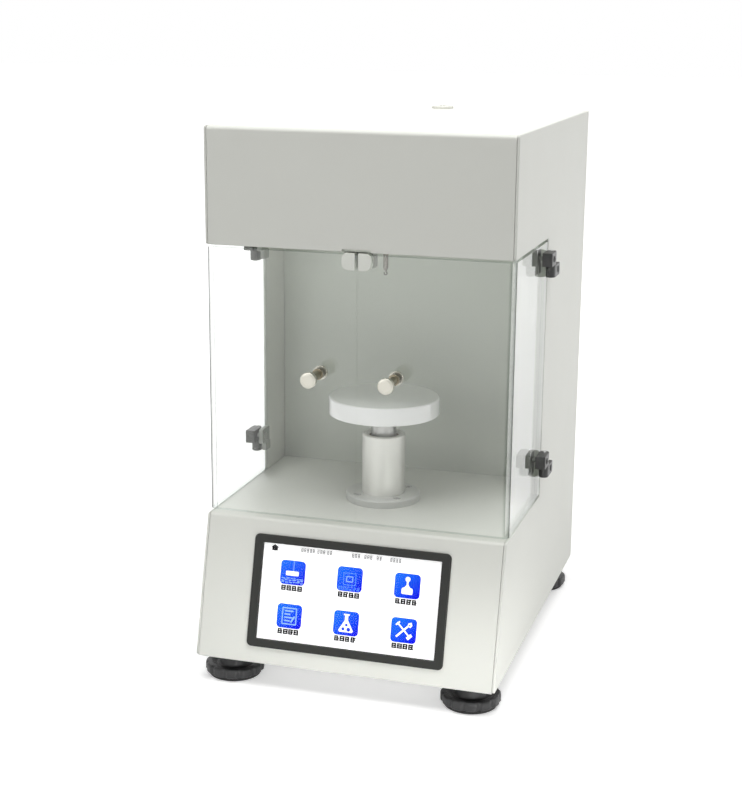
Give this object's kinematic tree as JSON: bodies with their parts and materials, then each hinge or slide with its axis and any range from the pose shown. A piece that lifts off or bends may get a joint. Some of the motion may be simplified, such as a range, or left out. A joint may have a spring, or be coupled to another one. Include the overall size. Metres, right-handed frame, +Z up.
{
  "type": "surface tensiometer",
  "caption": "Bench instrument in a C-shaped sheet-metal cabinet: sloped touchscreen base, clear-doored draught chamber with a lifting sample platform under a hook, round levelling feet.",
  "frame": {"origin": "floor level under the middle of the bounding box", "axes": "+Z up, -Y towards the front with the touchscreen, +X to the right seen from the front"},
  "size_m": [0.273, 0.3454, 0.4616],
  "materials": {
    "cabinet_paint": "fine matte powder coat, warm off-white",
    "chamber_paint": "fine matte powder coat, warm off-white",
    "chassis_sheet": "zinc-plated sheet",
    "rear_paint": "fine matte powder coat",
    "screw_steel": "zinc-plated",
    "bezel_plastic": "fine-grained charcoal",
    "screen_glass": "clear cover glass",
    "screen_module": "lit screen in a dark metal can",
    "flange_metal": "light satin",
    "sleeve_metal": "satin turned",
    "platform_metal": "satin, light",
    "shaft_steel": "ground, dark",
    "bushing_bronze": "sintered bronze",
    "carriage_metal": "milled",
    "rod_steel": "ground",
    "motor_black": "black laminations and end caps",
    "cell_metal": "milled block",
    "hook_steel": "polished steel",
    "door_acrylic": "clear cast acrylic, polished edges",
    "knob_metal": "warm nickel, polished faces",
    "nut_metal": "nickel",
    "strike_nickel": "nickel-plated steel",
    "hinge_black": "black, slightly glossy",
    "catch_grey": "grey",
    "magnet_nickel": "nickel-plated magnet",
    "pad_rubber": "black rubber",
    "foot_black": "black moulded",
    "level_plastic": "ivory",
    "level_liquid": "tinted liquid under a domed window",
    "fitting_black": "black",
    "socket_grey": "grey",
    "pin_brass": "bright brass",
    "rocker_plastic": "black",
    "supply_metal": "folded sheet case",
    "board_green": "solder mask and components"
  },
  "bodies": {
    "cabinet": {"left_side_panel": "cabinet_paint", "right_side_panel": "cabinet_paint", "head_cover": "cabinet_paint", "head_floor": "chamber_paint", "chamber_wall": "chamber_paint", "base_cover": "cabinet_paint", "base_plate": "chassis_sheet", "rear_panel": "rear_paint", "rear_screws": "screw_steel", "display_bezel": "bezel_plastic", "display_glass": "screen_glass", "display_module": "screen_module", "stage_flange": "flange_metal", "stage_screws": "screw_steel", "stage_sleeve": "sleeve_metal", "stage_bushings": "bushing_bronze", "motor_bracket": "chassis_sheet", "lift_motor": "motor_black", "guide_rods": "rod_steel", "balance_cell": "cell_metal", "suspension_hook": "hook_steel", "hinge_leaves": "hinge_black", "hinge_pins": "rod_steel", "catch_body": "catch_grey", "catch_magnets": "magnet_nickel", "level_housing": "level_plastic", "level_vial": "level_liquid", "power_inlet": "fitting_black", "switch_frame": "fitting_black", "data_socket": "socket_grey", "inlet_pins": "pin_brass", "power_supply": "supply_metal", "main_board": "board_green"},
    "left_door": {"left_door_pane": "door_acrylic", "left_door_knob": "knob_metal", "left_knob_nut": "nut_metal", "left_door_strike": "strike_nickel", "left_hinge_clamps": "hinge_black", "left_hinge_jaws": "hinge_black"},
    "right_door": {"right_door_pane": "door_acrylic", "right_door_knob": "knob_metal", "right_knob_nut": "nut_metal", "right_door_strike": "strike_nickel", "right_hinge_clamps": "hinge_black", "right_hinge_jaws": "hinge_black"},
    "stage": {"platform_disc": "platform_metal", "stage_shaft": "shaft_steel", "stage_carriage": "carriage_metal", "lead_nut": "bushing_bronze"},
    "screw": {"lead_screw": "rod_steel"},
    "rocker": {"switch_rocker": "rocker_plastic"},
    "pad_front_left": {"foot_pad_front_left": "pad_rubber"},
    "wheel_front_left": {"foot_wheel_front_left": "foot_black"},
    "pad_front_right": {"foot_pad_front_right": "pad_rubber"},
    "wheel_front_right": {"foot_wheel_front_right": "foot_black"},
    "pad_back_left": {"foot_pad_back_left": "pad_rubber"},
    "wheel_back_left": {"foot_wheel_back_left": "foot_black"},
    "pad_back_right": {"foot_pad_back_right": "pad_rubber"},
    "wheel_back_right": {"foot_wheel_back_right": "foot_black"}
  },
  "joints": [
    {"name": "left_door_swing", "type": "hinge", "parent": "cabinet", "child": "left_door", "pos_m": [-0.1323, -0.01625, 0.25], "axis": [0, 0, 1], "range_deg": [-110, 0]},
    {"name": "right_door_swing", "type": "hinge", "parent": "cabinet", "child": "right_door", "pos_m": [0.1323, -0.01625, 0.25], "axis": [0, 0, 1], "range_deg": [0, 110]},
    {"name": "stage_lift", "type": "slide", "parent": "cabinet", "child": "stage", "axis": [0, 0, 1], "range_m": [-0.014, 0.04]},
    {"name": "lead_screw_turn", "type": "hinge", "parent": "cabinet", "child": "screw", "pos_m": [0, -0.05625, 0.09], "axis": [0, 0, 1], "range_deg": [-3610, 1270]},
    {"name": "power_switch_rock", "type": "hinge", "parent": "cabinet", "child": "rocker", "pos_m": [0.024, 0.16875, 0.062], "axis": [1, 0, 0], "range_deg": [-7, 7]},
    {"name": "foot_lift_front_left", "type": "slide", "parent": "cabinet", "child": "pad_front_left", "axis": [0, 0, 1], "range_m": [-0.0079, 0]},
    {"name": "foot_turn_front_left", "type": "hinge", "parent": "pad_front_left", "child": "wheel_front_left", "pos_m": [-0.103, -0.14725, 0.01], "axis": [0, 0, 1], "range_deg": [-2250, 0]},
    {"name": "foot_lift_front_right", "type": "slide", "parent": "cabinet", "child": "pad_front_right", "axis": [0, 0, 1], "range_m": [-0.0079, 0]},
    {"name": "foot_turn_front_right", "type": "hinge", "parent": "pad_front_right", "child": "wheel_front_right", "pos_m": [0.103, -0.14725, 0.01], "axis": [0, 0, 1], "range_deg": [-2250, 0]},
    {"name": "foot_lift_back_left", "type": "slide", "parent": "cabinet", "child": "pad_back_left", "axis": [0, 0, 1], "range_m": [-0.0079, 0]},
    {"name": "foot_turn_back_left", "type": "hinge", "parent": "pad_back_left", "child": "wheel_back_left", "pos_m": [-0.103, 0.14275, 0.01], "axis": [0, 0, 1], "range_deg": [-2250, 0]},
    {"name": "foot_lift_back_right", "type": "slide", "parent": "cabinet", "child": "pad_back_right", "axis": [0, 0, 1], "range_m": [-0.0079, 0]},
    {"name": "foot_turn_back_right", "type": "hinge", "parent": "pad_back_right", "child": "wheel_back_right", "pos_m": [0.103, 0.14275, 0.01], "axis": [0, 0, 1], "range_deg": [-2250, 0]}
  ],
  "couplings": [
    {"joint": "lead_screw_turn", "follows": "stage_lift", "rad_per_m": -1570.8},
    {"joint": "foot_lift_front_left", "follows": "foot_turn_front_left", "m_per_rad": 0.00019894},
    {"joint": "foot_lift_front_right", "follows": "foot_turn_front_right", "m_per_rad": 0.00019894},
    {"joint": "foot_lift_back_left", "follows": "foot_turn_back_left", "m_per_rad": 0.00019894},
    {"joint": "foot_lift_back_right", "follows": "foot_turn_back_right", "m_per_rad": 0.00019894}
  ]
}
